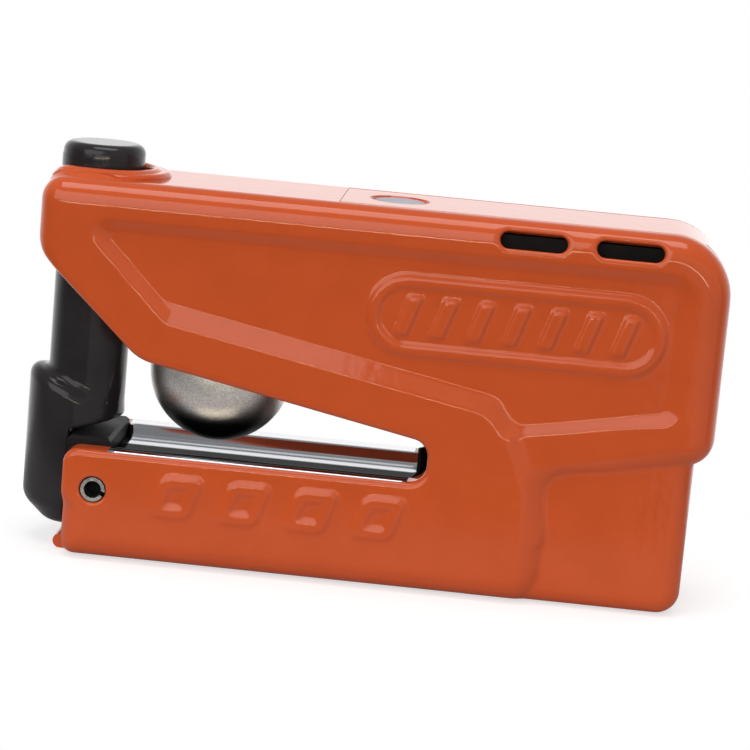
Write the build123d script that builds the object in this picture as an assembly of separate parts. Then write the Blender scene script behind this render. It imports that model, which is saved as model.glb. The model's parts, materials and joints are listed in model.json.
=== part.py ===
"""Alarm disc brake lock: a steel jaw that closes on a motorcycle's brake disc with a lifting bolt.

+X runs from the bolt to the key end, -Y is the badge side and Z is up. The lock stands on its flat
bottom, with the origin under the middle of its bounding box. All sizes are in millimetres.
"""
import os
from math import atan, cos, degrees, radians, sin

from build123d import *

# Body outline
LEFT, RIGHT, TOP = -57.8, 59.7, 65.4
DEPTH = 30.0
HALF = DEPTH / 2
EDGE_R = 4.0              # rounding of the pressed outer edge
LIP_R = 1.2               # rounding of the edges round the disc slot
ARM_LEFT = -50.6          # left end of the lower arm
SLOT_END = 11.6
SLOT_FLOOR = 19.2
LINER_T = 0.7
ARM_RIGHT = 34.2          # where the raised lower arm ends on the cylinder block
BLOCK_RIGHT = 56.7
BLOCK_FACE = 13.2         # half depth of the cylinder block

# Shells and frame band
SEAM = 10.6               # the shells meet the frame band at y = +-SEAM
PLATE = 2.3
SHELL_INNER = HALF - PLATE
BAND = 2.5
CAVITY = SEAM - 0.2       # half width of what sits inside the band
RECESS_DEPTH = 1.2
RECESS_BORDER = 2.0
BADGE = (24.4, 47.7)      # middle of the raised field in x and z
FLOOR_TOP = BAND + 0.1
LID_LEFT, LID_LOW, LID_GAP, LID_R = -7.4, 33.0, 0.1, 0.5   # lid over the electronics

# Bolt
SHAFT_X, SHAFT_R = -49.7, 6.8
HEAD_R, HEAD_LOW, HEAD_TOP = 7.15, 64.9, 70.2
WIDE_X, WIDE_R, WIDE_TOP = -51.5, 8.2, 31.8
WIDE_LEFT = WIDE_X - WIDE_R
SHOULDER_DEG = 20.0       # slope of the wide end's shoulder
TIP_Z, TIP_CHAMFER = 2.9, 4.2
FLAT_X, FLAT_TOP = -50.9, 20.9
COLLAR_X, COLLAR_R, COLLAR_HOLE_R, COLLAR_H = -48.9, 11.3, 8.0, 0.9
LIFT = 17.0

# Latch, cylinder and cam
LATCH_LOW, LATCH_HIGH, LATCH_HALF = 14.7, 16.6, 5.0
LATCH_LEFT, LATCH_RIGHT = -50.6, 27.5
LATCH_TRAVEL = 4.0
KEY_Z = 10.8
HOUSING_R, BORE_R, PLUG_R = 8.1, 5.6, 5.5
HOUSING_LEFT, HOUSING_RIGHT = 29.0, BLOCK_RIGHT - BAND - 1.0
PLUG_LEFT, PLUG_RIGHT = 30.0, 54.8
CAM_R, CAM_LEFT = 3.3, 19.6
FOLLOWER_X, FOLLOWER_R = 26.0, 1.1
COVER_PIVOT_Z, COVER_R, COVER_T = 18.0, 4.2, 1.2
COVER_POCKET = 1.8        # depth of the pocket that the cover lies in
COVER_X = BLOCK_RIGHT - COVER_POCKET + 0.1

# Spring pin and lower insert
PIN_X, PIN_Z, PIN_R, PIN_WALL, PIN_SLIT = -45.1, 12.3, 2.1, 0.6, 0.8
INSERT_LEFT, INSERT_RIGHT, INSERT_TOP = -50.7, -43.2, 20.5

# Sensor dome
DOME_X, DOME_R, DOME_Z, DOME_WALL = -26.2, 12.4, 32.7, 2.0
DOME_TOP = 37.5
STEM_R, STEM_TOP = 2.6, 45.5
DOME_TRAVEL = 3.0
GUIDE_LOW = 41.2

# Electronics
BOARD_LEFT, BOARD_Z, BOARD_T = -9.0, 44.0, 1.2
CELL_R, CELL_L, CELL_Z, CELL_LEFT = 5.25, 44.5, 37.5, 4.0
LAMP_X, LAMP_R = 2.3, 4.4
SIREN_X, SIREN_HALF = 34.0, 13.0
SIREN_SLOTS_X = (25.95, 42.15)
SIREN_SLOT_L, SIREN_SLOT_W = 11.3, 2.9


# ---------------------------------------------------------------- helpers
def face_of(corners):
    """A closed face from (x, z, corner radius) rows."""
    points = [(x, z) for x, z, _ in corners]
    return make_face(FilletPolyline(*points, radius=[r for _, _, r in corners], close=True).edges())


def slab(face, y_low, y_high):
    """A face drawn in X and Z, made solid from y_low to y_high."""
    return extrude(Plane.XZ.offset(-y_high) * face, y_high - y_low)


def block(x, y, z):
    """A box from its ranges."""
    size = [high - low for low, high in (x, y, z)]
    middle = [(low + high) / 2 for low, high in (x, y, z)]
    return Pos(*middle) * Box(*size)


def rod_x(x_low, x_high, y, z, r):
    """A round rod along X."""
    return Pos((x_low + x_high) / 2, y, z) * Rot(0, 90, 0) * Cylinder(r, x_high - x_low)


def rod_y(x, y_low, y_high, z, r):
    """A round rod along Y."""
    return Pos(x, (y_low + y_high) / 2, z) * Rot(90, 0, 0) * Cylinder(r, y_high - y_low)


def rod_z(x, y, z_low, z_high, r):
    """A round rod along Z."""
    return Pos(x, y, (z_low + z_high) / 2) * Cylinder(r, z_high - z_low)


def front_edges(solid, y):
    """The edges that lie in the plane y."""
    return solid.edges().filter_by_position(Axis.Y, y - 0.01, y + 0.01)


# ---------------------------------------------------------------- outlines
def body_outline():
    """Jaw and body: both arms, the disc slot between them and the raised part over the block."""
    return face_of([
        (LEFT, TOP, 4.0),
        (RIGHT, TOP, 10.5),
        (RIGHT, 27.4, 5.0),
        (ARM_RIGHT, 21.0, 3.0),
        (ARM_RIGHT, 0.0, 6.0),
        (ARM_LEFT, 0.0, 2.5),
        (ARM_LEFT, SLOT_FLOOR, 2.6),
        (SLOT_END, SLOT_FLOOR, 3.0),
        (SLOT_END, 26.2, 3.0),
        (-38.9, 35.6, 8.0),
        (LEFT, 53.1, 6.0),
    ])


def block_outline():
    """The lower block that holds the lock cylinder."""
    return face_of([(24.0, 0.0, 0.0), (BLOCK_RIGHT, 0.0, 4.0), (BLOCK_RIGHT, 32.0, 0.0),
                    (24.0, 32.0, 0.0)])


def recess_outline():
    """The shallow panel pressed into each side."""
    return face_of([
        (-51.6, 59.2, 2.5),
        (54.1, 59.2, 5.0),
        (53.2, 33.7, 3.0),
        (23.8, 28.4, 1.8),
        (20.7, 32.3, 5.0),
        (-34.8, 42.5, 2.2),
    ])


# ---------------------------------------------------------------- shells and band
def plain_shell():
    """One pressed shell, without the features that differ from side to side."""
    jaw = slab(body_outline(), -HALF, -SEAM)
    jaw = fillet(front_edges(jaw, -HALF), LIP_R)
    pillow = slab(face_of([(LEFT, TOP, 4.2), (RIGHT, TOP, 10.5), (RIGHT, -10.0, 4.2),
                           (LEFT, -10.0, 4.2)]), -HALF, -SEAM + 1)
    jaw &= fillet(front_edges(pillow, -HALF), EDGE_R)

    lower = slab(block_outline(), -BLOCK_FACE, -SEAM)
    lower = fillet(front_edges(lower, -BLOCK_FACE), LIP_R)

    pocket = slab(offset(body_outline(), -PLATE), -SHELL_INNER, -SEAM)
    room = DOME_R + 0.6
    pocket += block((DOME_X - room, DOME_X + room), (-SHELL_INNER, -SEAM),
                    (DOME_Z - DOME_R, GUIDE_LOW))

    taper = degrees(atan(RECESS_BORDER / RECESS_DEPTH))
    panel = extrude(Plane.XZ.offset(HALF) * recess_outline(), -RECESS_DEPTH, taper=taper)

    lip_seat = block((INSERT_RIGHT, SLOT_END - 3.2), (-HALF, -SEAM),
                     (SLOT_FLOOR - LINER_T, SLOT_FLOOR + 0.1))
    pin_hole = rod_y(PIN_X, -HALF, -SEAM, PIN_Z, PIN_R + 0.2)
    return jaw + lower - pocket - panel - lip_seat - pin_hole


def siren_slot(x):
    """One siren opening through the upper front edge, tilted upwards."""
    tilt = 30.0
    plane = Plane(origin=(x, -HALF + 1.6, TOP - 2.6), x_dir=(1, 0, 0),
                  z_dir=(0, -cos(radians(tilt)), sin(radians(tilt))))
    return extrude(plane * SlotOverall(SIREN_SLOT_L, SIREN_SLOT_W), 2.6, both=True)


def badge_field():
    """Plain raised field with slanted ribs in the recessed panel."""
    floor_y = -HALF + RECESS_DEPTH
    field = slab(Pos(*BADGE) * SlotOverall(51.0, 14.2), floor_y - 0.5, floor_y + 0.1)
    ribs = [slab(Pos(BADGE[0] + 6.1 * i, BADGE[1]) * Rot(0, 0, -18) * SlotOverall(8.0, 2.6, 90),
                 floor_y - 0.9, floor_y - 0.4) for i in range(-3, 4)]
    return [field] + ribs


def arm_marks():
    """Four short slanted marks pressed into the lower arm."""
    return [slab(Pos(-31.0 + 11.4 * i, 12.2) * Rot(0, 0, -18) * SlotOverall(8.6, 2.8, 90),
                 -HALF, -HALF + 0.5) for i in range(4)]


def front_shell():
    shell = plain_shell()
    for piece in badge_field():
        shell += piece
    for piece in arm_marks():
        shell -= piece
    for x in SIREN_SLOTS_X:
        shell -= siren_slot(x)
    return shell


def rear_shell():
    return mirror(plain_shell(), about=Plane.XZ)


def band_pieces():
    """The band all round between the shells, then the plate round the slot's end."""
    whole = body_outline() + block_outline()
    band = slab(whole, -SEAM, SEAM) - slab(offset(whole, -BAND), -SEAM, SEAM)
    band -= block((-60.0, SLOT_END), (-SEAM, SEAM), (BAND, 22.3))
    band += block((ARM_LEFT - 0.5, ARM_LEFT + 4), (-9.0, 9.0), (0.0, BAND))
    band += rod_y(ARM_LEFT - 0.5, -9.0, 9.0, BAND / 2, BAND / 2)
    collar = rod_z(COLLAR_X, 0, TOP - 0.5, TOP + COLLAR_H, COLLAR_R)
    collar = fillet(collar.edges().group_by(Axis.Z)[-1], COLLAR_H - 0.1)
    band += collar & slab(Pos(0, COLLAR_H) * body_outline(), -SEAM, SEAM)
    band -= rod_z(COLLAR_X, 0, 60.0, 70.0, COLLAR_HOLE_R)
    band -= rod_z(SHAFT_X, 0, 40.0, 66.0, SHAFT_R + 0.2)
    band -= rod_z(WIDE_X, 0, 30.0, WIDE_TOP + LIFT + 0.8, WIDE_R + 0.5)
    band -= rod_z(DOME_X, 0, 20.0, 40.0, DOME_R + 0.4)
    band -= rod_z(LAMP_X, 0, 60.0, 66.0, LAMP_R + 0.1)
    band -= Pos(LAMP_X, 0, TOP - 0.4) * Cone(LAMP_R + 0.1, LAMP_R + 0.9, 0.8)
    band -= rod_x(50.0, 60.0, 0, KEY_Z, PLUG_R + 0.2)
    band -= rod_x(50.0, 60.0, 0, COVER_PIVOT_Z, 1.25)
    band -= block((BLOCK_RIGHT - COVER_POCKET, RIGHT), (-10.1, 10.1), (5.6, 21.4))
    corner_slot = Plane(origin=(56.6, -7.6, 62.3), x_dir=(0, 1, 0), z_dir=(1, 0, 1))
    band -= extrude(corner_slot * SlotOverall(5.0, 1.6, 90), 4.0, both=True)
    return band.solids().sort_by(SortBy.VOLUME)[::-1]


def nose_band():
    """Band at the bolt's end, with the collar."""
    return band_pieces()[0] & block((LEFT - 5, LID_LEFT), (-HALF, HALF), (LID_LOW, TOP + 5))


def frame_band():
    """Band under the body, with the key opening and the floor of the lower arm."""
    return band_pieces()[0] & block((LEFT - 5, RIGHT + 5), (-HALF, HALF), (-1, LID_LOW))


def top_lid():
    """Lid with the lamp hole and the small slot in its corner, set between the shells."""
    side = SEAM - LID_GAP
    lid = slab(body_outline(), -side, side)
    for y in (-side, side):
        lid = fillet(front_edges(lid, y), LID_R)
    room = block((LID_LEFT + LID_GAP, RIGHT + 5), (-HALF, HALF), (LID_LOW + LID_GAP, TOP + 5))
    return lid & room & band_pieces()[0]


def jaw_plate():
    """Plate between the shells along the slot's roof and round its end."""
    return band_pieces()[1]


# ---------------------------------------------------------------- bolt and its guides
def bolt():
    """Shaft, head and off-centre wide end with its flat and latch notch."""
    wide = rod_z(WIDE_X, 0, TIP_Z + TIP_CHAMFER, WIDE_TOP + 4, WIDE_R)
    cut = Pos(WIDE_LEFT, 0, WIDE_TOP) * Rot(0, SHOULDER_DEG, 0) * Pos(15, 0, 10) * Box(50, 40, 20)
    wide -= cut
    wide = fillet(wide.edges().group_by(Axis.Z)[-1], 1.8)
    wide += Pos(WIDE_X, 0, TIP_Z + TIP_CHAMFER / 2) * Cone(WIDE_R - TIP_CHAMFER, WIDE_R, TIP_CHAMFER)
    shaft = rod_z(SHAFT_X, 0, 22.0, HEAD_LOW, SHAFT_R)
    head = rod_z(SHAFT_X, 0, HEAD_LOW, HEAD_TOP, HEAD_R)
    head = fillet(head.edges().group_by(Axis.Z)[-1], 1.4)
    pin = shaft + wide + head
    pin -= block((FLAT_X, -40.0), (-10, 10), (0, FLAT_TOP))
    clear = 0.3
    pin -= block((LATCH_LEFT - LATCH_TRAVEL - clear, FLAT_X + 1),
                 (-LATCH_HALF - clear, LATCH_HALF + clear), (LATCH_LOW - clear, LATCH_HIGH + clear))
    return pin


def bolt_guide():
    """Steel block that guides the shaft in the upper arm."""
    guide = block((LEFT, -41.5), (-CAVITY, CAVITY), (54.2, TOP))
    guide &= slab(offset(body_outline(), -BAND - 0.1), -CAVITY, CAVITY)
    return guide - rod_z(SHAFT_X, 0, 50.0, 70.0, SHAFT_R + 0.1)


def bolt_wiper_ring():
    """Rubber ring under the collar, on which the bolt's head seats."""
    ring = rod_z(COLLAR_X, 0, 62.9, HEAD_LOW - 0.1, COLLAR_HOLE_R)
    return ring - rod_z(SHAFT_X, 0, 60.0, 70.0, SHAFT_R + 0.15)


def lower_guide_insert():
    """Black guide block between the plates, with a passage for the latch bar."""
    insert = block((INSERT_LEFT, INSERT_RIGHT), (-CAVITY, CAVITY), (FLOOR_TOP, INSERT_TOP))
    insert = chamfer(insert.edges().group_by(Axis.Z)[-1], 0.6)
    insert -= block((-60, -40), (-LATCH_HALF - 0.2, LATCH_HALF + 0.2),
                    (LATCH_LOW - 0.1, LATCH_HIGH + 0.1))
    return insert - rod_y(PIN_X, -HALF, HALF, PIN_Z, PIN_R)


def roll_pin():
    """Slit spring pin across the lower arm."""
    length = HALF - 0.4
    pin = rod_y(PIN_X, -length, length, PIN_Z, PIN_R)
    pin -= rod_y(PIN_X, -HALF, HALF, PIN_Z, PIN_R - PIN_WALL)
    slit = Pos(PIN_X, 0, PIN_Z) * Rot(0, 20, 0) * Pos(PIN_R, 0, 0) * Box(2 * PIN_R, DEPTH, PIN_SLIT)
    return pin - slit


def slot_liner():
    """Dished sheet on the slot floor that curls up at the slot's end."""
    lip, edge, flat = 14.4, CAVITY, 8.4
    top, low = SLOT_FLOOR, SLOT_FLOOR - 1.6
    upper = [(-lip, top), (-edge, top), (-flat, low), (flat, low), (edge, top), (lip, top)]
    lower = [(y, z - LINER_T) for y, z in reversed(upper)]
    profile = make_face(Polyline(*upper, *lower, close=True).edges())
    x_low, x_high = INSERT_RIGHT + 0.2, SLOT_END - 3.4
    channel = extrude(Plane.YZ.offset(x_low) * profile, x_high - x_low)
    wall = SLOT_END - 0.1
    outer = face_of([(x_high - 4, low - LINER_T, 0), (wall, low - LINER_T, 3.2), (wall, 24.5, 0),
                     (wall - LINER_T, 24.5, 0), (wall - LINER_T, low, 2.5), (x_high - 4, low, 0)])
    return channel + slab(outer, -CAVITY, CAVITY)


def arm_core():
    """Steel bar that fills the lower arm under the latch."""
    core = block((INSERT_RIGHT + 0.2, 18.0), (-CAVITY, CAVITY), (FLOOR_TOP, LATCH_LOW - 0.1))
    for i in range(4):
        core -= rod_z(-33.0 + 14.0 * i, 0, 0.0, 20.0, 4.0)
    return core


# ---------------------------------------------------------------- latch and lock cylinder
def latch_bar():
    """Flat bar under the liner with the follower that the cam drives."""
    bar = block((LATCH_LEFT, LATCH_RIGHT), (-LATCH_HALF, LATCH_HALF), (LATCH_LOW, LATCH_HIGH))
    bar = chamfer(bar.edges().filter_by(Axis.Z), 0.8)
    return bar + rod_z(FOLLOWER_X, 0, 12.4, LATCH_LOW + 0.2, FOLLOWER_R)


def cylinder_housing():
    housing = rod_x(HOUSING_LEFT, HOUSING_RIGHT, 0, KEY_Z, HOUSING_R)
    housing -= rod_x(HOUSING_LEFT, HOUSING_RIGHT, 0, KEY_Z, BORE_R)
    return housing - rod_y(33.0, -10.0, 10.0, KEY_Z + 5.2, 1.0)


def cylinder_retaining_pin():
    return rod_y(33.0, -5.5, 5.5, KEY_Z + 5.2, 1.0)


def disc_places():
    """Positions of the tumbler discs along the plug."""
    return [36.0 + 2.8 * i for i in range(7)]


def keyway(x_low, x_high):
    return block((x_low, x_high), (-1.0, 1.0), (KEY_Z - 3.4, KEY_Z + 3.4))


def cylinder_plug():
    plug = rod_x(PLUG_LEFT, PLUG_RIGHT, 0, KEY_Z, PLUG_R)
    groove = rod_x(31.8, 34.2, 0, KEY_Z, PLUG_R + 1) - rod_x(31.8, 34.2, 0, KEY_Z, 4.1)
    plug -= groove
    for x in disc_places():
        plug -= rod_x(x - 0.1, x + 1.6, 0, KEY_Z, 4.7)
    return plug - keyway(35.0, PLUG_RIGHT + 1)


def tumbler_discs():
    return [rod_x(x, x + 1.5, 0, KEY_Z, 4.6) - keyway(x - 1, x + 3) for x in disc_places()]


def cam_barrel():
    """Barrel with a helical groove: a quarter turn drives the latch bar by its travel."""
    barrel = rod_x(CAM_LEFT, PLUG_LEFT, 0, KEY_Z, CAM_R)
    steps = 18
    for i in range(steps + 1):
        part = i / steps
        cutter = Pos(0, 0, 3.6) * Cylinder(FOLLOWER_R + 0.3, 4.8)
        place = Pos(FOLLOWER_X - LATCH_TRAVEL * part, 0, KEY_Z)
        barrel -= place * Rot(-90 * part, 0, 0) * cutter
    return barrel


def keyhole_cover():
    """Swivelling plate over the keyhole."""
    x_low, x_high = COVER_X, COVER_X + COVER_T
    cover = rod_x(x_low, x_high, 0, KEY_Z, COVER_R) + rod_x(x_low, x_high, 0, COVER_PIVOT_Z, 2.8)
    cover += block((x_low, x_high), (-2.0, 2.0), (KEY_Z, COVER_PIVOT_Z))
    cover = fillet(cover.edges().group_by(Axis.X)[-1], 0.3)
    return cover - rod_x(50, 60, 0, COVER_PIVOT_Z, 1.25)


def cover_rivet():
    head_left = COVER_X + COVER_T + 0.1
    rivet = rod_x(HOUSING_RIGHT + 0.2, head_left, 0, COVER_PIVOT_Z, 1.2)
    head = rod_x(head_left, BLOCK_RIGHT, 0, COVER_PIVOT_Z, 2.1)
    return rivet + fillet(head.edges().group_by(Axis.X)[-1], 0.2)


# ---------------------------------------------------------------- sensor dome
def sensor_dome():
    """Hollow dome on a stem that presses the micro switch."""
    outer = Pos(DOME_X, 0, DOME_Z) * Sphere(DOME_R) & block((-50, 0), (-20, 20), (0, DOME_Z))
    outer += rod_z(DOME_X, 0, DOME_Z, DOME_TOP, DOME_R)
    inner_r = DOME_R - DOME_WALL
    inner = Pos(DOME_X, 0, DOME_Z) * Sphere(inner_r) & block((-50, 0), (-20, 20), (0, DOME_Z))
    inner += rod_z(DOME_X, 0, DOME_Z, DOME_TOP + 1, inner_r)
    return outer - inner + rod_z(DOME_X, 0, DOME_Z - DOME_R + 1.0, STEM_TOP, STEM_R)


def dome_guide():
    guide = block((DOME_X - 12.4, DOME_X + 12.4), (-12.6, 12.6), (GUIDE_LOW, GUIDE_LOW + 3.0))
    guide += rod_z(DOME_X, 0, GUIDE_LOW + 3.0, STEM_TOP - 0.3, 4.5)
    return guide - rod_z(DOME_X, 0, 30.0, 60.0, STEM_R + 0.1)


def dome_spring():
    """Compression spring round the stem, inside the dome."""
    wire_r, coil_r, turns = 0.45, 4.2, 7
    low, high = 24.0 + wire_r, GUIDE_LOW - wire_r
    path = Helix(pitch=(high - low) / turns, height=high - low, radius=coil_r)
    section = Plane(origin=path @ 0, z_dir=path % 0) * Circle(wire_r)
    return Pos(DOME_X, 0, low) * sweep(section, path=path, is_frenet=True)


def micro_switch():
    case = block((DOME_X - 6.4, DOME_X + 6.4), (-3.2, 3.2), (49.8, 56.4))
    for i in range(3):
        case += block((DOME_X - 5 + 4.5 * i, DOME_X - 4.4 + 4.5 * i), (-1.2, 1.2), (56.4, 60.0))
    return case + rod_z(DOME_X, 0, STEM_TOP + DOME_TRAVEL + 0.2, 49.8, 1.4)


# ---------------------------------------------------------------- electronics
def battery_cells():
    cells = []
    for y in (-CELL_R - 0.2, CELL_R + 0.2):
        body = rod_x(CELL_LEFT, CELL_LEFT + CELL_L - 1, y, CELL_Z, CELL_R)
        cells.append(body + rod_x(CELL_LEFT + CELL_L - 1, CELL_LEFT + CELL_L, y, CELL_Z, 1.9))
    return cells


def battery_holder():
    tray = block((1.6, 51.0), (-12.4, 12.4), (31.4, CELL_Z + 4.0))
    for y in (-CELL_R - 0.2, CELL_R + 0.2):
        tray -= rod_x(CELL_LEFT - 1.0, CELL_LEFT + CELL_L + 1.0, y, CELL_Z, CELL_R + 0.1)
        tray -= block((CELL_LEFT - 1.0, CELL_LEFT + CELL_L + 1.0), (y - CELL_R, y + CELL_R),
                      (CELL_Z, CELL_Z + 5.0))
    return tray


def battery_contacts():
    ends = (CELL_LEFT - 0.8, CELL_LEFT + CELL_L + 0.2)
    return [block((x, x + 0.6), (y - 3.5, y + 3.5), (CELL_Z - 3.4, CELL_Z + 6.2))
            for x in ends for y in (-CELL_R - 0.2, CELL_R + 0.2)]


def screw_places():
    return [(x, y) for x in (-7.0, -1.5) for y in (-7.5, 7.5)]


def board_bracket():
    """Bracket under the board's left end, drilled for its screws."""
    bracket = block((BOARD_LEFT, 0.5), (-CAVITY, CAVITY), (41.0, BOARD_Z))
    bracket -= block((-6.5, -2.5), (-5, 5), (40, 50))
    for x, y in screw_places():
        bracket -= rod_z(x, y, 40.0, 50.0, 0.9)
    return bracket


def board_screws():
    return [rod_z(x, y, 41.4, BOARD_Z + BOARD_T, 0.9) + rod_z(x, y, BOARD_Z + BOARD_T, 46.2, 1.7)
            for x, y in screw_places()]


def circuit_board():
    board = block((BOARD_LEFT, 52.0), (-CAVITY, CAVITY), (BOARD_Z, BOARD_Z + BOARD_T))
    for x, y in screw_places():
        board -= rod_z(x, y, 40.0, 50.0, 1.0)
    return board


def board_components():
    """Sensor, controller, coil and capacitors: (x, y, length, width, height)."""
    chips = [(9.5, 0.0, 7.0, 7.0, 1.2), (16.0, 5.0, 4.0, 4.0, 1.0), (16.0, -5.0, 5.0, 3.6, 1.6),
             (50.0, 3.0, 2.4, 5.0, 2.0)]
    base = BOARD_Z + BOARD_T
    parts = [block((x - a / 2, x + a / 2), (y - b / 2, y + b / 2), (base, base + h))
             for x, y, a, b, h in chips]
    return parts + [rod_z(4.0, y, base, base + 5.0, 2.0) for y in (-7.5, 7.5)]


def status_led():
    stand = block((LAMP_X - 2.5, LAMP_X + 2.5), (-2.5, 2.5), (BOARD_Z + BOARD_T, 54.0))
    bulb = rod_z(LAMP_X, 0, 54.0, 58.0, 2.4) + Pos(LAMP_X, 0, 58.0) * Sphere(2.4)
    return stand + bulb


def status_lens():
    lens = rod_z(LAMP_X, 0, 61.4, TOP - 0.15, LAMP_R)
    lens += rod_z(LAMP_X, 0, 61.4, TOP - BAND - 0.1, LAMP_R + 1.2)
    return fillet(lens.edges().group_by(Axis.Z)[-1], 0.3)


def siren_housing():
    """Sound chamber with its two mouths towards the front upper edge."""
    box = block((SIREN_X - SIREN_HALF, SIREN_X + SIREN_HALF), (-CAVITY, CAVITY), (48.0, 62.6))
    box -= rod_z(SIREN_X, 0, 47.0, 61.0, 9.6)
    for x in SIREN_SLOTS_X:
        box -= block((x - 4.5, x + 4.5), (-11, -3), (58.0, 61.5))
    return box


def piezo_disc():
    return rod_z(SIREN_X, 0, 49.0, 49.5, 9.5)


def siren_membrane():
    """Thin black membrane behind the siren slots."""
    return block((18.6, 49.4), (-SHELL_INNER + 0.05, -SHELL_INNER + 0.6), (58.4, 62.9))


def tie_pins():
    """Pins that hold the two shells on the frame band."""
    places = [(-4.0, 36.0), (54.0, 38.0), (54.0, 52.0), (-4.0, 56.0), (19.0, 23.5)]
    return [rod_y(x, -SHELL_INNER + 0.05, SHELL_INNER - 0.05, z, 1.5) for x, z in places]


# ---------------------------------------------------------------- all nodes
NODES = {
    "front_shell": front_shell,
    "rear_shell": rear_shell,
    "nose_band": nose_band,
    "frame_band": frame_band,
    "top_lid": top_lid,
    "jaw_plate": jaw_plate,
    "bolt": bolt,
    "bolt_guide": bolt_guide,
    "bolt_wiper_ring": bolt_wiper_ring,
    "lower_guide_insert": lower_guide_insert,
    "roll_pin": roll_pin,
    "slot_liner": slot_liner,
    "arm_core": arm_core,
    "latch_bar": latch_bar,
    "cylinder_housing": cylinder_housing,
    "cylinder_retaining_pin": cylinder_retaining_pin,
    "cylinder_plug": cylinder_plug,
    "tumbler_discs": tumbler_discs,
    "cam_barrel": cam_barrel,
    "keyhole_cover": keyhole_cover,
    "cover_rivet": cover_rivet,
    "sensor_dome": sensor_dome,
    "dome_guide": dome_guide,
    "dome_spring": dome_spring,
    "micro_switch": micro_switch,
    "battery_cells": battery_cells,
    "battery_holder": battery_holder,
    "battery_contacts": battery_contacts,
    "board_bracket": board_bracket,
    "board_screws": board_screws,
    "circuit_board": circuit_board,
    "board_components": board_components,
    "status_led": status_led,
    "status_lens": status_lens,
    "siren_housing": siren_housing,
    "piezo_disc": piezo_disc,
    "siren_membrane": siren_membrane,
    "tie_pins": tie_pins,
}

os.makedirs("parts", exist_ok=True)
for name, make in NODES.items():
    shape = make()
    if isinstance(shape, list):
        shape = Compound(children=[piece.solid() for piece in shape])
    export_step(shape, f"parts/{name}.step")
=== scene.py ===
"""Looks of the disc brake lock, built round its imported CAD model.

The pressed shells and the painted bolt are soft forms, so each is made here as a distance field and
meshed with surface nets. Lengths in the shape code are millimetres, and meshes are in metres.
"""
import json
from math import cos, pi, radians, sin

import bmesh
import bpy
import numpy as np
from mathutils import Matrix, Vector


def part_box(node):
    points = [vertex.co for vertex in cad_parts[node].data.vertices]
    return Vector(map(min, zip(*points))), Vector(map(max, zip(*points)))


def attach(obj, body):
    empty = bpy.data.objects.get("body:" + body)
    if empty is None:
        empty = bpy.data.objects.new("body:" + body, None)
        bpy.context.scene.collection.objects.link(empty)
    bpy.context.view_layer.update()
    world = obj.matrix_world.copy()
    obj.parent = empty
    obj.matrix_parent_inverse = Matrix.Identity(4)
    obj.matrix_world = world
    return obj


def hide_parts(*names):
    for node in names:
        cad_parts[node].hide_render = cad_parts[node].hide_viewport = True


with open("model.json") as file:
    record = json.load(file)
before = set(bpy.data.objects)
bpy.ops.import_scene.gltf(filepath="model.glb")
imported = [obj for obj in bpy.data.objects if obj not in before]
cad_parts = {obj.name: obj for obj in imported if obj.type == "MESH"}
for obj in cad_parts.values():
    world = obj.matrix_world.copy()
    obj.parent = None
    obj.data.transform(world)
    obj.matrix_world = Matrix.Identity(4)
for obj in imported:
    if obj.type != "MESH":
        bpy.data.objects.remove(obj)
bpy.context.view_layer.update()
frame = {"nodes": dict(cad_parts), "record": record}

MM = 0.001
SKY_FRONT, SKY_BACK, SKY_TOP = 0.14, 1.3, 0.35   # brightness of the studio round the lock
FLOOR_REACH = (0.20, 0.085)                      # half the floor's length and width, in metres
FLOOR_CORNERS = 96
SHELL_STEP, BOLT_STEP, COLLAR_STEP = 0.36, 0.36, 0.28   # spacing of the field samples


def box_mm(node):
    """Lowest and highest corner of a CAD node in millimetres."""
    return [[value / MM for value in corner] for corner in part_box(node)]


def middle(node):
    """Centre of a CAD node's box in millimetres."""
    return [(a + b) / 2 for a, b in zip(*box_mm(node))]


SHELL_LOW, SHELL_HIGH = box_mm("front_shell")
LEFT, HALF = SHELL_LOW[0], -SHELL_LOW[1]
RIGHT, TOP = SHELL_HIGH[0], SHELL_HIGH[2]
SEAM = -SHELL_HIGH[1]
SLOT_FLOOR, SLOT_END = 19.2, 11.6
ARM_LEFT, ARM_RIGHT = -50.6, 34.2
BLOCK_RIGHT, BLOCK_FACE = 56.7, 13.2
PLATE, RECESS_DEPTH = 2.3, 1.0
TOP_ROUNDING = 4.0        # of the shells' top edge beside the bolt
SHAFT_X, SHAFT_R = -49.7, 6.8
SIREN_SLOTS_X, SIREN_SLOT_Z = (25.95, 42.15), 62.55
BADGE = (24.4, 47.7)      # middle of the badge field, x and z
MARK_LEAN = radians(18)   # slant of the badge's ribs and of the marks on the arm


# ---------------------------------------------------------------- materials
def new_material(name):
    """An empty node material: (material, node tree, its Principled shader)."""
    mat = bpy.data.materials.new(name)
    mat.use_nodes = True
    tree = mat.node_tree
    return mat, tree, tree.nodes["Principled BSDF"]


def noise(tree, scale, detail=2.0, roughness=0.5, stretch=(1, 1, 1)):
    """Noise in object space, whose scale is in cycles per metre."""
    place = tree.nodes.new("ShaderNodeTexCoord")
    mapping = tree.nodes.new("ShaderNodeMapping")
    mapping.inputs["Scale"].default_value = stretch
    texture = tree.nodes.new("ShaderNodeTexNoise")
    texture.inputs["Scale"].default_value = scale
    texture.inputs["Detail"].default_value = detail
    texture.inputs["Roughness"].default_value = roughness
    tree.links.new(place.outputs["Object"], mapping.inputs["Vector"])
    tree.links.new(mapping.outputs["Vector"], texture.inputs["Vector"])
    return texture.outputs["Fac"]


def ramp(tree, value, low, high, start=0.3, end=0.7):
    """Turns a value into a colour between low and high."""
    node = tree.nodes.new("ShaderNodeValToRGB")
    node.color_ramp.elements[0].position = start
    node.color_ramp.elements[0].color = (*low, 1)
    node.color_ramp.elements[1].position = end
    node.color_ramp.elements[1].color = (*high, 1)
    tree.links.new(value, node.inputs["Fac"])
    return node.outputs["Color"]


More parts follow.
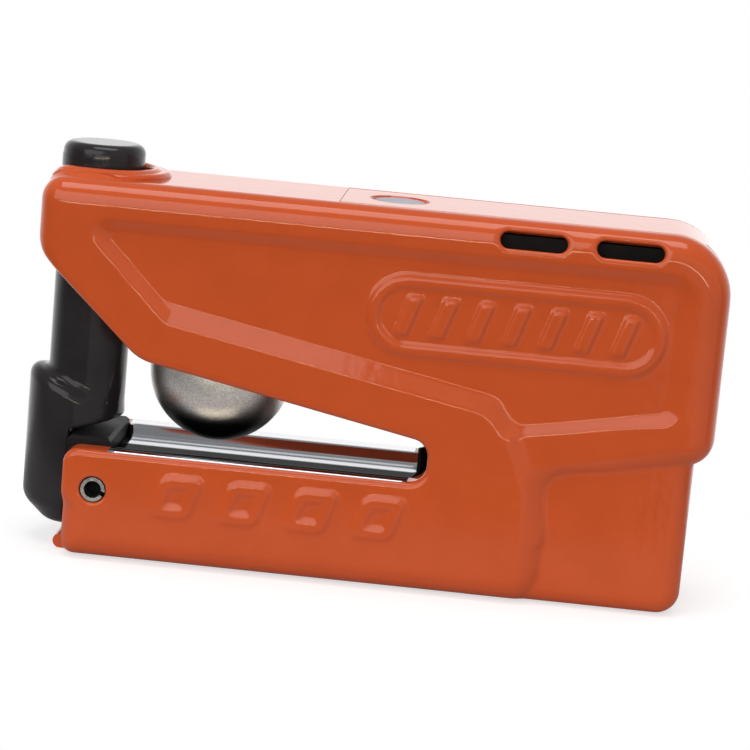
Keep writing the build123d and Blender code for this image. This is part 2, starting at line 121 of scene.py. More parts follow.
def spread(tree, value, low, high):
    """Maps a value from 0..1 to low..high."""
    node = tree.nodes.new("ShaderNodeMapRange")
    node.inputs["To Min"].default_value = low
    node.inputs["To Max"].default_value = high
    tree.links.new(value, node.inputs["Value"])
    return node.outputs["Result"]


def eased(tree, value, start, end, low=0.0, high=1.0):
    """Maps a value from start..end to low..high with a smooth step."""
    node = tree.nodes.new("ShaderNodeMapRange")
    node.interpolation_type = "SMOOTHSTEP"
    for name, setting in (("From Min", start), ("From Max", end), ("To Min", low), ("To Max", high)):
        node.inputs[name].default_value = setting
    tree.links.new(value, node.inputs["Value"])
    return node.outputs["Result"]


def coordinates(tree, space):
    """The X, Y and Z sockets of a texture coordinate."""
    place = tree.nodes.new("ShaderNodeTexCoord")
    parts = tree.nodes.new("ShaderNodeSeparateXYZ")
    tree.links.new(place.outputs[space], parts.inputs[0])
    return parts.outputs


def scaled(tree, colour, factor):
    """A colour times a value."""
    node = tree.nodes.new("ShaderNodeVectorMath")
    node.operation = "SCALE"
    tree.links.new(colour, node.inputs[0])
    tree.links.new(factor, node.inputs["Scale"])
    return node.outputs[0]


def bump(tree, height, distance):
    """A bump of that depth in metres."""
    node = tree.nodes.new("ShaderNodeBump")
    node.inputs["Distance"].default_value = distance
    node.inputs["Strength"].default_value = 1.0
    tree.links.new(height, node.inputs["Height"])
    return node.outputs["Normal"]


def coated(name, low, high, rough, peel, peel_scale=420.0, ior=1.5):
    """Paint, plastic or rubber: two-tone colour, varied roughness and a fine grain or orange peel."""
    mat, tree, shader = new_material(name)
    shader.inputs["IOR"].default_value = ior
    colour = ramp(tree, noise(tree, 135.0, 3.0), low, high)
    tree.links.new(colour, shader.inputs["Base Color"])
    tree.links.new(spread(tree, noise(tree, 900.0, 3.0), *rough), shader.inputs["Roughness"])
    normal = bump(tree, noise(tree, peel_scale, 1.5, 0.4), peel)
    tree.links.new(normal, shader.inputs["Normal"])
    return mat


def brushed(name, low, high, rough, stretch, depth=0.000004):
    """Metal with fine lines along one direction."""
    mat, tree, shader = new_material(name)
    shader.inputs["Metallic"].default_value = 1.0
    lines = noise(tree, 1800.0, 3.0, 0.6, stretch)
    tree.links.new(ramp(tree, lines, low, high), shader.inputs["Base Color"])
    tree.links.new(spread(tree, lines, *rough), shader.inputs["Roughness"])
    tree.links.new(bump(tree, lines, depth), shader.inputs["Normal"])
    return mat


def liner_with_painted_reflection():
    """Polished steel sheet with a painted dark reflection: a dark band along its front side, where the steel
    loses its metal sheen.
    """
    mat = brushed("polished_liner_painted_reflection", (0.44, 0.45, 0.48), (0.52, 0.53, 0.56), (0.03, 0.09), (0.05, 1, 1),
                  0.000001)
    tree = mat.node_tree
    shader = tree.nodes["Principled BSDF"]
    shader.inputs["IOR"].default_value = 1.03
    colour = shader.inputs["Base Color"].links[0].from_socket
    front_edge, rear_edge = (-0.0124, -0.0116), (0.0013, 0.0001)   # Y outside and inside the painted reflection band
    across = coordinates(tree, "Object")["Y"]
    # painted reflection: inside this band the steel's colour and metallic drop nearly to zero
    band = tree.nodes.new("ShaderNodeMath")
    band.operation = "MULTIPLY"
    for i, (start, end) in enumerate((front_edge, rear_edge)):
        tree.links.new(eased(tree, across, start, end), band.inputs[i])
    painted_shading = spread(tree, band.outputs[0], 1.0, 0.02)
    tree.links.new(scaled(tree, colour, painted_shading), shader.inputs["Base Color"])
    tree.links.new(painted_shading, shader.inputs["Metallic"])
    return mat


def nickel_grain_and_painted_shade():
    """Grainy nickel plate of the sensor dome, with painted shade that darkens it towards its lowest point."""
    mat, tree, shader = new_material("dome_nickel_grain_painted_shade")
    shader.inputs["Metallic"].default_value = 1.0
    dark_to, bright_from = 0.0243, 0.0288   # heights over which the painted shade fades out upwards
    grain = noise(tree, 3200.0, 4.0, 0.75)
    colour = ramp(tree, grain, (0.56, 0.54, 0.51), (0.98, 0.95, 0.91), 0.35, 0.65)
    # painted shade: the grain's colour is scaled down towards the dome's bottom
    painted_shading = eased(tree, coordinates(tree, "Object")["Z"], dark_to, bright_from, 0.04, 1.0)
    tree.links.new(scaled(tree, colour, painted_shading), shader.inputs["Base Color"])
    tree.links.new(spread(tree, noise(tree, 2600.0, 3.0), 0.32, 0.46), shader.inputs["Roughness"])
    tree.links.new(bump(tree, grain, 0.00002), shader.inputs["Normal"])
    return mat


MATERIALS = {
    "orange_coat": coated("orange_powder_coat", (0.60, 0.090, 0.020), (0.64, 0.097, 0.023), (0.05, 0.09),
                          0.00002, peel_scale=600.0, ior=1.42),
    "black_bolt": coated("black_enamel", (0.019, 0.017, 0.019), (0.027, 0.024, 0.027), (0.10, 0.18),
                         0.00004, peel_scale=300.0, ior=1.36),
    # the dome's material has painted shade towards its bottom, and the liner's has a painted dark reflection
    # band
    "dome_nickel": nickel_grain_and_painted_shade(),
    "liner_steel": liner_with_painted_reflection(),
    "pin_steel": brushed("pin_steel_finish", (0.42, 0.42, 0.42), (0.62, 0.62, 0.61), (0.18, 0.34),
                         (1, 0.1, 1)),
    "black_plastic": coated("moulded_black", (0.008, 0.008, 0.008), (0.014, 0.013, 0.013), (0.40, 0.55),
                            0.00002, peel_scale=1400.0, ior=1.2),
    "lamp_lens": coated("smoked_lens", (0.22, 0.20, 0.26), (0.30, 0.28, 0.34), (0.25, 0.4), 0.000004,
                        ior=1.3),
    "lamp_led": coated("clear_led", (0.75, 0.75, 0.70), (0.85, 0.85, 0.80), (0.08, 0.15), 0.000002),
    "black_rubber": coated("wiper_rubber", (0.006, 0.006, 0.006), (0.012, 0.011, 0.011), (0.55, 0.75),
                           0.00002, peel_scale=1800.0, ior=1.15),
    "tool_steel": brushed("machined_steel", (0.36, 0.36, 0.37), (0.50, 0.50, 0.51), (0.25, 0.4),
                          (0.2, 1, 1)),
    "lock_brass": brushed("turned_brass", (0.60, 0.42, 0.17), (0.74, 0.54, 0.25), (0.2, 0.34), (0.2, 1, 1)),
    "spring_steel": brushed("spring_wire", (0.45, 0.45, 0.47), (0.6, 0.6, 0.62), (0.15, 0.3), (1, 1, 0.3)),
    "board_green": coated("solder_mask", (0.010, 0.10, 0.035), (0.016, 0.15, 0.05), (0.25, 0.4), 0.00001),
    "chip_black": coated("chip_resin", (0.02, 0.02, 0.02), (0.035, 0.035, 0.035), (0.4, 0.6), 0.00001,
                         peel_scale=2500.0),
    "cell_wrap": coated("cell_wrap_film", (0.05, 0.06, 0.09), (0.08, 0.09, 0.13), (0.15, 0.3), 0.00001),
    "cover_steel": brushed("polished_cover", (0.62, 0.63, 0.65), (0.74, 0.75, 0.77), (0.08, 0.18),
                           (1, 1, 0.15)),
}


def paint(obj, slot_name):
    """Gives an object the finish of a record slot."""
    obj.data.materials.clear()
    obj.data.materials.append(MATERIALS[slot_name])


# ---------------------------------------------------------------- plane shapes
def rounded(corners, step=radians(7)):
    """Points of a closed outline from (x, z, corner radius) rows."""
    points = []
    count = len(corners)
    for i, (x, z, r) in enumerate(corners):
        here = np.array([x, z])
        before = np.array(corners[i - 1][:2]) - here
        after = np.array(corners[(i + 1) % count][:2]) - here
        before, after = before / np.linalg.norm(before), after / np.linalg.norm(after)
        if r == 0:
            points.append(here)
            continue
        half = np.arccos(np.clip(before @ after, -1, 1)) / 2
        middle = (before + after) / np.linalg.norm(before + after)
        centre = here + middle * r / np.sin(half)
        starts = [here + side * r / np.tan(half) - centre for side in (before, after)]
        sweep = pi - 2 * half
        parts = max(2, int(sweep / step))
        for k in range(parts + 1):
            t = k / parts
            points.append(centre + (np.sin((1 - t) * sweep) * starts[0] + np.sin(t * sweep) * starts[1])
                          / np.sin(sweep))
    return np.array(points)


def distance_to(outline, x, z):
    """Signed distance to a closed outline, negative inside."""
    best = np.full(x.shape, 1e9, dtype=np.float32)
    inside = np.zeros(x.shape, dtype=bool)
    for (ax, az), (bx, bz) in zip(outline, np.roll(outline, -1, axis=0)):
        ex, ez = bx - ax, bz - az
        px, pz = x - ax, z - az
        t = np.clip((px * ex + pz * ez) / max(ex * ex + ez * ez, 1e-12), 0, 1)
        best = np.minimum(best, (px - t * ex) ** 2 + (pz - t * ez) ** 2)
        if az != bz:
            crosses = ((az > z) != (bz > z)) & (px < (z - az) * ex / ez)
            inside ^= crosses
    return np.where(inside, -1.0, 1.0) * np.sqrt(best)


BODY_OUTLINE = rounded([
    (LEFT, TOP, 4.0), (RIGHT, TOP, 10.5), (RIGHT, 27.4, 5.0), (ARM_RIGHT, 21.0, 3.0),
    (ARM_RIGHT, 0.0, 6.0), (ARM_LEFT, 0.0, 2.5), (ARM_LEFT, SLOT_FLOOR, 2.6),
    (SLOT_END, SLOT_FLOOR, 3.0), (SLOT_END, 26.2, 3.0), (-38.9, 35.6, 8.0), (LEFT, 53.1, 6.0)])
BLOCK_OUTLINE = rounded([(20.0, 0.0, 0.0), (BLOCK_RIGHT, 0.0, 4.0), (BLOCK_RIGHT, 34.0, 0.0),
                         (20.0, 34.0, 0.0)])
RECESS_CORNERS = [(-48.5, 57.8), (52.9, 57.8), (52.0, 33.6), (24.6, 28.6), (19.9, 34.6), (-35.3, 44.7)]


def moved_sides(corners, moves, radii):
    """Rounded outline whose sides are moved outwards, each by its own amount."""
    lines = []
    for (ax, az), (bx, bz), move in zip(corners, corners[1:] + corners[:1], moves):
        length = np.hypot(bx - ax, bz - az)
        nx, nz = (az - bz) / length, (bx - ax) / length
        lines.append((nx, nz, nx * ax + nz * az + move))
    rows = []
    for before, after, r in zip(lines[-1:] + lines[:-1], lines, radii):
        point = np.linalg.solve([before[:2], after[:2]], [before[2], after[2]])
        rows.append((*point, r))
    return rounded(rows)


RECESS_RIM = moved_sides(RECESS_CORNERS, (1.45, 1.2, 0.1, 0.8, 2.1, 1.2), (2.5, 5.0, 3.0, 1.8, 5.0, 2.0))
RECESS_FLOOR = moved_sides(RECESS_CORNERS, (-0.6, -1.1, -1.9, -2.6, -1.2, -0.8),
                           (1.2, 3.5, 1.5, 3.0, 3.0, 1.0))


def smoothstep(low, high, value):
    """0 at low, 1 at high, with a soft start and end between them."""
    t = np.clip((value - low) / (high - low), 0, 1)
    return t * t * (3 - 2 * t)


def soft_max(a, b, k):
    """Maximum with its corner rounded over a width k."""
    return np.maximum(a, b) + np.maximum(k - np.abs(a - b), 0) ** 2 / (4 * k)


def soft_min(a, b, k):
    """Minimum with its corner rounded over a width k."""
    return -soft_max(-a, -b, k)


def bank(distance, width, corner=0.15):
    """0 outside, 1 past width inside, with a straight slope between two small rounded edges."""
    return soft_max(soft_min(-distance / width, 1.0, corner), 0.0, corner)


def rounded_box(x, z, cx, cz, width, height, r, lean=0.0):
    """Distance to a rounded rectangle whose sides lean."""
    u = np.abs((x - cx) - (z - cz) * np.tan(lean)) - width / 2 + r
    v = np.abs(z - cz) - height / 2 + r
    return np.hypot(np.maximum(u, 0), np.maximum(v, 0)) + np.minimum(np.maximum(u, v), 0) - r


def recess(x, z):
    """0 outside the recessed panel, 1 on its floor, with a slope of varying width between them."""
    rim, floor = distance_to(RECESS_RIM, x, z), distance_to(RECESS_FLOOR, x, z)
    width = np.maximum(np.maximum(floor, 0) + np.maximum(-rim, 0), 0.05)
    return bank(np.where(rim > 0, rim, np.where(floor < 0, -width, -width * -rim / width)), width, 0.1)


class Maps:
    """Fields over the XZ plane, sampled once and read with linear interpolation."""

    pitch = 0.25
    low = (-66.0, -6.0)
    high = (66.0, 74.0)

    def __init__(self, **fields):
        axes = [np.arange(self.low[i], self.high[i], self.pitch) for i in (0, 1)]
        x, z = np.meshgrid(*axes, indexing="ij")
        self.tables = {name: make(x, z).astype(np.float32) for name, make in fields.items()}

    def read(self, x, z):
        """The fields' values at points of the plane, by name."""
        u, v = (x - self.low[0]) / self.pitch, (z - self.low[1]) / self.pitch
        shape = next(iter(self.tables.values())).shape
        i = np.clip(u.astype(int), 0, shape[0] - 2)
        j = np.clip(v.astype(int), 0, shape[1] - 2)
        a, b = u - i, v - j
        return {name: (t[i, j] * (1 - a) * (1 - b) + t[i + 1, j] * a * (1 - b)
                       + t[i, j + 1] * (1 - a) * b + t[i + 1, j + 1] * a * b)
                for name, t in self.tables.items()}


# ---------------------------------------------------------------- surface nets
def surface_net(field, low, high, step):
    """Vertices and quads of the surface field = 0 inside a box, with vertices moved onto it."""
    axes = [np.arange(low[i], high[i] + step, step) for i in range(3)]
    grid = np.meshgrid(*axes, indexing="ij")
    values = field(*grid)
    shape = np.array(values.shape)
    cells = shape - 1
    total = np.zeros((cells.prod(), 3))
    count = np.zeros(cells.prod())
    crossings = []
    for axis in range(3):
        first = [slice(None)] * 3
        second = [slice(None)] * 3
        first[axis], second[axis] = slice(None, -1), slice(1, None)
        a, b = values[tuple(first)], values[tuple(second)]
        at = np.argwhere((a < 0) != (b < 0))
        va, vb = a[tuple(at.T)], b[tuple(at.T)]
        point = at.astype(float)
        point[:, axis] += va / (va - vb)
        u, v = (axis + 1) % 3, (axis + 2) % 3
        corner_ids = []
        usable = np.ones(len(at), dtype=bool)
        for du, dv in ((0, 0), (1, 0), (1, 1), (0, 1)):
            cell = at.copy()
            cell[:, u] -= du
            cell[:, v] -= dv
            fits = ((cell >= 0) & (cell < cells)).all(axis=1)
            index = np.ravel_multi_index(np.where(fits[:, None], cell, 0).T, cells)
            np.add.at(total, index[fits], point[fits])
            np.add.at(count, index[fits], 1)
            usable &= fits
            corner_ids.append(index)
        quads = np.stack(corner_ids, axis=1)[usable]
        flip = (va >= 0)[usable]
        quads[flip] = quads[flip][:, ::-1]
        crossings.append(quads)
    used = np.flatnonzero(count)
    number = np.full(cells.prod(), -1)
    number[used] = np.arange(len(used))
    points = total[used] / count[used, None] * step + np.array([axis[0] for axis in axes])
    quads = number[np.concatenate(crossings)]
    return settle(points, field, step), quads


def settle(points, field, step, rounds=3, probe=0.03):
    """Moves points onto the surface field = 0."""
    for _ in range(rounds):
        value = field(*points.T)
        slope = np.stack([field(*(points + probe * axis).T) - value for axis in np.eye(3)], axis=1) / probe
        move = value[:, None] * slope / np.maximum((slope ** 2).sum(axis=1), 0.25)[:, None]
        length = np.linalg.norm(move, axis=1, keepdims=True)
        points = points - move * np.minimum(1, 0.5 * step / np.maximum(length, 1e-9))
    return points


def new_object(name, vertices, faces, slot_name, body, *nodes, smooth=True):
    """A piece from vertices in millimetres, which rides on a body and stands for CAD nodes."""
    mesh = bpy.data.meshes.new(name)
    mesh.from_pydata((np.asarray(vertices) * MM).tolist(), [], np.asarray(faces).tolist()
                     if isinstance(faces, np.ndarray) else faces)
    mesh.polygons.foreach_set("use_smooth", [smooth] * len(mesh.polygons))
    mesh.update()
    obj = bpy.data.objects.new(name, mesh)
    bpy.context.scene.collection.objects.link(obj)
    paint(obj, slot_name)
    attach(obj, body)
    if nodes:
        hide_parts(*nodes)
    return obj


def cut_flat(obj, co, normal):
    """Cuts a mesh with a plane, removes what lies on the normal's side and closes the cut."""
    bm = bmesh.new()
    bm.from_mesh(obj.data)
    geometry = bm.verts[:] + bm.edges[:] + bm.faces[:]
    cut = bmesh.ops.bisect_plane(bm, geom=geometry, dist=1e-7, plane_co=co, plane_no=normal, clear_outer=True)
    rim = [e for e in cut["geom_cut"] if isinstance(e, bmesh.types.BMEdge)]
    bmesh.ops.triangle_fill(bm, use_beauty=True, use_dissolve=True, edges=rim, normal=normal)
    rim = [e for e in rim if e.is_valid]
    bmesh.ops.recalc_face_normals(bm, faces=bm.faces)
    for edge in rim:
        edge.smooth = False
    bm.to_mesh(obj.data)
    bm.free()


# ---------------------------------------------------------------- shells
def edge_radius(x, z):
    """Rounding of the pressed edge: wide along the top and right, tight round the disc slot."""
    tight, wide = 1.1, 4.2
    top = smoothstep(49.0, 56.0, z)
    right = smoothstep(26.0, 33.0, x) * smoothstep(13.0, 20.0, z)
    arm = 0.4 * smoothstep(22.0, 28.0, x) * smoothstep(20.0, 14.0, z)
    bottom = smoothstep(12.0, 8.0, z)
    return tight + (wide - tight) * np.clip(top + right + arm + bottom, 0, 1)


def rail_drop(x, z):
    """The rail under the recess lies a little lower than the arm and runs out to the right."""
    deep, slope = 0.6, 2.6
    across = x - (24.0 + (30.0 - z) * 0.42)
    return deep * bank(-across, slope, 0.2) * smoothstep(58.0, 36.0, x) * smoothstep(36.0, 31.0, z)


def arm_bevel(x, z):
    """Slope from the lower arm down to the cylinder block."""
    start_x, slope, deep = 28.8, 5.2, 1.6
    return deep * bank(start_x - x, slope, 0.12) * smoothstep(25.0, 20.0, z)


def badge(x, z):
    """Rounded frame with slanted ribs, as a height above the recess floor."""
    raised, sunk, rim_width, rib_height, rib_pitch = 0.55, 0.42, 1.9, 0.62, 6.1
    field = rounded_box(x, z, *BADGE, 51.0, 14.2, 7.1)
    height = raised * bank(field, 0.7, 0.3) - sunk * bank(field + rim_width, 0.6, 0.3)
    for i in range(-3, 4):
        rib = rounded_box(x, z, BADGE[0] + rib_pitch * i, BADGE[1], 3.2, 7.6, 0.9, MARK_LEAN)
        height = np.maximum(height, rib_height * bank(rib, 0.7, 0.3))
    return height


def arm_marks(x, z):
    """Four slanted outlines on the lower arm."""
    first_x, pitch, middle_z, raised, line_width = -30.6, 11.6, 12.4, 0.38, 2.1
    height = np.zeros_like(x)
    for i in range(4):
        outer = rounded_box(x, z, first_x + pitch * i, middle_z, 8.0, 8.2, 2.0, MARK_LEAN)
        line = bank(outer, 0.8, 0.3) - bank(outer + line_width, 0.8, 0.3)
        height = np.maximum(height, raised * line)
    return height


def rear_depth(x, z):
    """How far the rear shell's face stands from the middle."""
    panel = recess(x, z)
    return HALF - RECESS_DEPTH * panel - rail_drop(x, z) * (1 - panel) - arm_bevel(x, z)


def front_depth(x, z):
    """How far the front shell's face stands from the middle: the rear's with badge and marks."""
    return rear_depth(x, z) + badge(x, z) + arm_marks(x, z)


MAPS = Maps(
    body=lambda x, z: distance_to(BODY_OUTLINE, x, z),
    block=lambda x, z: distance_to(BLOCK_OUTLINE, x, z),
    front=front_depth, rear=rear_depth, radius=edge_radius)


def rounded_slab(plan, over, r):
    """A shape with plan distance plan and height distance over, its edge rounded by r."""
    a, b = plan + r, over + r
    return np.minimum(np.maximum(a, b), 0) + np.hypot(np.maximum(a, 0), np.maximum(b, 0)) - r


def siren_slot(x, depth, z, centre):
    """A slot through the upper edge, tilted upwards. depth is measured outwards from the middle."""
    tilt, half_length, half_width, deep = radians(20), 4.2, 1.45, 3.4
    across = (depth - HALF) * sin(-tilt) + (z - SIREN_SLOT_Z) * cos(tilt)
    along = (depth - HALF) * cos(tilt) + (z - SIREN_SLOT_Z) * sin(tilt)
    slot = np.hypot(np.maximum(np.abs(x - centre) - half_length, 0), across) - half_width
    return np.maximum(slot, -along - deep)


def shell_field(side):
    """Distance field of one shell: side is -1 for the front and 1 for the rear."""
    pin_x, _, pin_z = middle("roll_pin")
    pin_hole, block_rounding, slot_rounding = 2.3, 3.0, 0.9

    def field(x, y, z):
        depth = y * side
        m = MAPS.read(x, z)
        over = depth - (m["front"] if side < 0 else m["rear"])
        jaw = rounded_slab(m["body"], over, m["radius"])
        block = rounded_slab(m["block"], depth - BLOCK_FACE, block_rounding)
        shape = soft_min(jaw, block, 0.5)
        pocket = np.maximum(m["body"] + PLATE, depth - (HALF - PLATE))
        shape = np.maximum(shape, -pocket)
        shape = soft_max(shape, pin_hole - np.hypot(x - pin_x, z - pin_z), 0.5)
        if side < 0:
            for centre in SIREN_SLOTS_X:
                shape = soft_max(shape, -siren_slot(x, depth, z, centre), slot_rounding)
        return shape

    return field


def make_shell(node, side):
    """One pressed shell, from its face to the seam with the frame band."""
    ends = sorted((side * (HALF + 1.0), side * (SEAM - 1.0)))
    low, high = (LEFT - 1.0, ends[0], -1.0), (RIGHT + 1.0, ends[1], TOP + 1.0)
    points, quads = surface_net(shell_field(side), low, high, SHELL_STEP)
    obj = new_object(node + "_skin", points, quads, "orange_coat", "lock_body", node)
    cut_flat(obj, (0, side * SEAM * MM, 0), (0, -side, 0))
    return obj


# ---------------------------------------------------------------- bolt
def make_bolt():
    """Painted bolt: shaft, head, off-centre wide end with a slanted shoulder, flat and latch notch."""
    low, high = box_mm("bolt")
    wide_r = 8.2
    wide_x, wide_top, shoulder, tip_height = low[0] + wide_r, 31.6, radians(20), 4.4
    shaft_low, shaft_high = 22.0, 68.0
    head_x, head_r, head_low, head_top = -49.4, 7.1, 64.9, high[2] + 0.3
    flat_x, flat_top = box_mm("lower_guide_insert")[0][0] - 0.2, 20.9
    notch_x, notch_z = box_mm("latch_bar")[0][0] - 4.3, 15.65

    def span(z, start, end):
        return np.abs(z - (start + end) / 2) - (end - start) / 2

    def field(x, y, z):
        wide_plan = np.hypot(x - wide_x, y) - wide_r
        shaft = np.maximum(np.hypot(x - SHAFT_X, y) - SHAFT_R, span(z, shaft_low, shaft_high))
        head = rounded_slab(np.hypot(x - head_x, y) - head_r, span(z, head_low, head_top), 1.7)
        wide = rounded_slab(wide_plan, (z - wide_top) * cos(shoulder) + (x - low[0]) * sin(shoulder), 2.4)
        tip = (wide_plan + low[2] + tip_height - z) * cos(pi / 4)
        wide = soft_max(soft_max(wide, tip, 1.2), low[2] - z, 1.2)
        shape = soft_min(soft_min(shaft, wide, 1.3), head, 0.6)
        flat = np.maximum(flat_x - x, z - flat_top - 0.25 * (x - flat_x))
        shape = soft_max(shape, -flat, 0.5)
        notch = np.maximum(notch_x - x, np.maximum(np.abs(y) - 5.3, np.abs(z - notch_z) - 1.25))
        return soft_max(shape, -notch, 0.3)

    points, quads = surface_net(field, [v - 1.0 for v in low], [v + 1.0 for v in high], BOLT_STEP)
    return new_object("bolt_painted", points, quads, "black_bolt", "bolt_body", "bolt")


# ---------------------------------------------------------------- collar
def body_top(x, y):
    """Height of the body's top near its left end, where both its corners are rounded."""
    r = TOP_ROUNDING
    end, side = np.clip(LEFT + r - x, 0, r), np.clip(np.abs(y) - (HALF - r), 0, r)
    return TOP - (r - np.sqrt(r ** 2 - end ** 2)) - (r - np.sqrt(r ** 2 - side ** 2))


def make_collar():
    """Soft mound round the bolt's head, which runs out into the top of the shells."""
    reach, height, slope, sunk = 12.4, 1.4, 3.2, 0.12
    hole_x, hole_r = -48.9, 7.95

    def field(x, y, z):
        r = np.hypot(x - SHAFT_X, y)
        rise = smoothstep(reach, reach - slope, r)
        top = body_top(x, y) + height * rise - sunk * (1 - rise)
        shape = np.maximum(np.maximum(z - top, r - reach - 0.6), TOP - 4.5 - z)
        shape = np.maximum(shape, LEFT + 0.05 - x)
        return soft_max(shape, hole_r - np.hypot(x - hole_x, y), 0.9)

    low = (LEFT - 0.8, -reach - 2.2, TOP - 5.0)
    high = (SHAFT_X + reach + 2.2, reach + 2.2, TOP + height + 0.8)
    points, quads = surface_net(field, low, high, COLLAR_STEP)
    return new_object("collar_mound", points, quads, "orange_coat", "lock_body")


# ---------------------------------------------------------------- slot liner and spring pin
def make_liner():
    """Dished sheet on the slot's floor, whose end curls up the slot's end wall."""
    low, high = box_mm("slot_liner")
    floor, bend, sheet = SLOT_FLOOR - 1.6, 3.0, 0.5
    wall = high[0] - 0.05
    path = [(x, floor, 0.0, 1.0) for x in np.linspace(low[0], wall - bend, 40)]
    path += [(wall - bend + bend * sin(a), floor + bend - bend * cos(a), -sin(a), cos(a))
             for a in np.linspace(0.0, pi / 2, 13)[1:]]
    path += [(wall, z, -1.0, 0.0) for z in np.linspace(floor + bend, high[2], 8)[1:]]
    half = [(0.0, 0.0), (4.0, 0.0), (7.9, 0.02), (8.3, 0.12), (9.8, 1.38), (10.2, 1.55), (10.4, 1.6),
            (10.6, 1.61), (14.4, 1.62)]
    across = [(-y, h) for y, h in half[:0:-1]] + half
    vertices, faces = [], []
    for depth in (0.0, sheet):
        for x, z, nx, nz in path:
            for y, h in across:
                inside = np.sign(y) * min(abs(y), 10.5) if x > wall - bend else y
                vertices.append((x + nx * (h - depth), inside, z + nz * (h - depth)))
    rows, columns = len(path), len(across)
    under = rows * columns
    for i in range(rows - 1):
        for j in range(columns - 1):
            a = i * columns + j
            b, c, d = a + 1, a + columns + 1, a + columns
            faces += [(a, d, c, b), (under + a, under + b, under + c, under + d)]
    rim = ([j for j in range(columns)] + [i * columns + columns - 1 for i in range(1, rows)]
           + [(rows - 1) * columns + j for j in range(columns - 2, -1, -1)]
           + [i * columns for i in range(rows - 2, 0, -1)])
    faces += [(a, b, under + b, under + a) for a, b in zip(rim, rim[1:] + rim[:1])]
    return new_object("liner_sheet", vertices, faces, "liner_steel", "lock_body", "slot_liner")


def make_pin_bore_shade():
    """Black plug inside the spring pin: painted shade that stands in for its deep, dark bore."""
    pin_x, _, pin_z = middle("roll_pin")
    sides, radius, half = 32, 1.45, 11.0
    around = [(radius * cos(a), radius * sin(a)) for a in np.linspace(0, 2 * pi, sides + 1)[:-1]]
    vertices = [(pin_x + u, y, pin_z + v) for y in (-half, half) for u, v in around]
    faces = [(i, (i + 1) % sides, sides + (i + 1) % sides, sides + i) for i in range(sides)]
    faces += [tuple(range(sides - 1, -1, -1)), tuple(range(sides, 2 * sides))]
    return new_object("pin_bore_shade_plug", vertices, faces, "black_rubber", "lock_body", smooth=False)


# ---------------------------------------------------------------- stage
def make_floor():
    """Pale floor that fades out at its rim. It looks whiter than it lights, as the backdrop does."""
    mesh = bpy.data.meshes.new("studio_floor")
    turns = np.linspace(0, 2 * pi, FLOOR_CORNERS + 1)[:-1]
    rim = [(FLOOR_REACH[0] * cos(a), FLOOR_REACH[1] * sin(a), 0) for a in turns]
    mesh.from_pydata(rim, [], [tuple(range(FLOOR_CORNERS))])
    floor = bpy.data.objects.new("studio_floor", mesh)
    floor.location.z = -0.0002
    bpy.context.scene.collection.objects.link(floor)
    mat, tree, shader = new_material("pale_floor")
    shader.inputs["Roughness"].default_value = 0.9
    shader.inputs["Specular IOR Level"].default_value = 0.1
    colour = ramp(tree, noise(tree, 3.0), (0.50, 0.50, 0.50), (0.52, 0.52, 0.52))
    tree.links.new(colour, shader.inputs["Base Color"])
    shader.inputs["Emission Color"].default_value = (1, 1, 1, 1)
    sight = tree.nodes.new("ShaderNodeLightPath")
    glow = spread(tree, sight.outputs["Is Camera Ray"], 0.05, 0.62)
    tree.links.new(glow, shader.inputs["Emission Strength"])
    place = tree.nodes.new("ShaderNodeTexCoord")
    scale = tree.nodes.new("ShaderNodeMapping")
    scale.inputs["Scale"].default_value = (1 / FLOOR_REACH[0], 1 / FLOOR_REACH[1], 1)
    reach = tree.nodes.new("ShaderNodeVectorMath")
    reach.operation = "LENGTH"
    tree.links.new(place.outputs["Object"], scale.inputs["Vector"])
    tree.links.new(scale.outputs["Vector"], reach.inputs[0])
    tree.links.new(eased(tree, reach.outputs["Value"], 0.98, 0.55), shader.inputs["Alpha"])
    floor.data.materials.append(mat)


def make_backdrop():
    """World that is bright at the horizon behind the lock, dim in front, and white to the camera."""
    world = bpy.data.worlds.new("studio")
    bpy.context.scene.world = world
    world.use_nodes = True
    tree = world.node_tree
    back = tree.nodes["Background"]
    back.inputs["Color"].default_value = (1, 1, 1, 1)
    direction = coordinates(tree, "Generated")
    shade = tree.nodes.new("ShaderNodeMix")
    tree.links.new(eased(tree, direction["Z"], 0.1, 0.85), shade.inputs[0])
    tree.links.new(eased(tree, direction["Y"], -0.2, 0.7, SKY_FRONT, SKY_BACK), shade.inputs[2])
    shade.inputs[3].default_value = SKY_TOP
    sight = tree.nodes.new("ShaderNodeLightPath")
    white = tree.nodes.new("ShaderNodeMix")
    tree.links.new(sight.outputs["Is Camera Ray"], white.inputs[0])
    tree.links.new(shade.outputs[0], white.inputs[2])
    white.inputs[3].default_value = 1.0
    tree.links.new(white.outputs[0], back.inputs["Strength"])


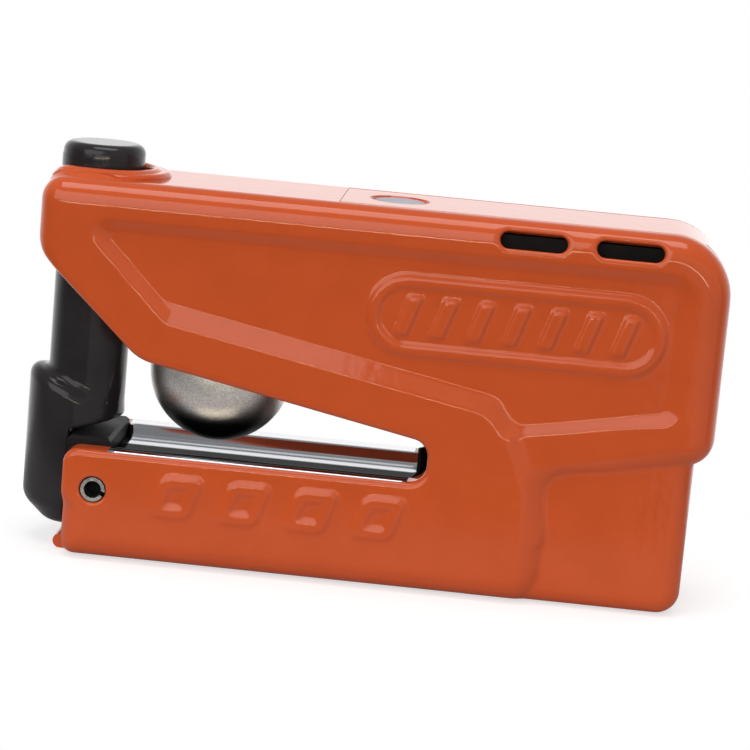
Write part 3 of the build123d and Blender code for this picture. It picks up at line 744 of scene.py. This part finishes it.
def soft_light(name, place, target, size, power, colour=(1, 1, 1)):
    """Rectangular lamp at place, turned to target, with its size in metres and its power in watts."""
    data = bpy.data.lights.new(name, "AREA")
    data.shape = "RECTANGLE"
    data.size, data.size_y = size
    data.energy = power
    data.color = colour
    obj = bpy.data.objects.new(name, data)
    bpy.context.scene.collection.objects.link(obj)
    obj.location = place
    obj.rotation_euler = (Vector(target) - Vector(place)).to_track_quat("-Z", "Y").to_euler()


def make_lights():
    """Big soft lamp in front, one above, a dim card at the side and a thin warm strip."""
    soft_light("key", (-0.8, -1.7, 0.9), (0, 0, 0.03), (2.0, 1.6), 20.5)
    soft_light("overhead", (0.0, -0.15, 1.2), (0, 0, 0.05), (0.8, 0.6), 5.5)
    soft_light("side_card", (1.0, -1.2, 0.1), (0, 0, 0.04), (2.2, 1.8), 4.4)
    soft_light("strip", (0.0, -1.6, 0.03), (0, 0, 0.05), (1.2, 0.03), 2.6, (1.0, 0.86, 0.60))


def make_camera():
    """Camera at the viewing angle, turned a little about its own axis."""
    azimuth, elevation, roll = radians(3.05), radians(10.65), radians(5.2)
    distance, lens = 0.466, 128.2
    target = Vector((0.0007, 0, 0.0344))
    back = Vector((sin(azimuth) * cos(elevation), -cos(azimuth) * cos(elevation), sin(elevation)))
    right = Vector((cos(azimuth), sin(azimuth), 0))
    up = back.cross(right)
    across = cos(roll) * right + sin(roll) * up
    upward = cos(roll) * up - sin(roll) * right
    data = bpy.data.cameras.new("camera")
    data.lens, data.sensor_width = lens, 36.0
    data.clip_start = 0.01
    camera = bpy.data.objects.new("camera", data)
    turn = Matrix((across, upward, back)).transposed().to_4x4()
    camera.matrix_world = Matrix.Translation(target + back * distance) @ turn
    bpy.context.scene.collection.objects.link(camera)
    bpy.context.scene.camera = camera


# ---------------------------------------------------------------- build
for row in frame["record"]["subparts"]:
    paint(frame["nodes"][row["node"]], row["material_slot"])

make_shell("front_shell", -1)
make_shell("rear_shell", 1)
make_bolt()
make_collar()
make_liner()
# black plug as painted shade inside the spring pin
make_pin_bore_shade()
make_floor()
make_backdrop()
make_lights()
make_camera()
bpy.context.scene.view_settings.view_transform = "Standard"
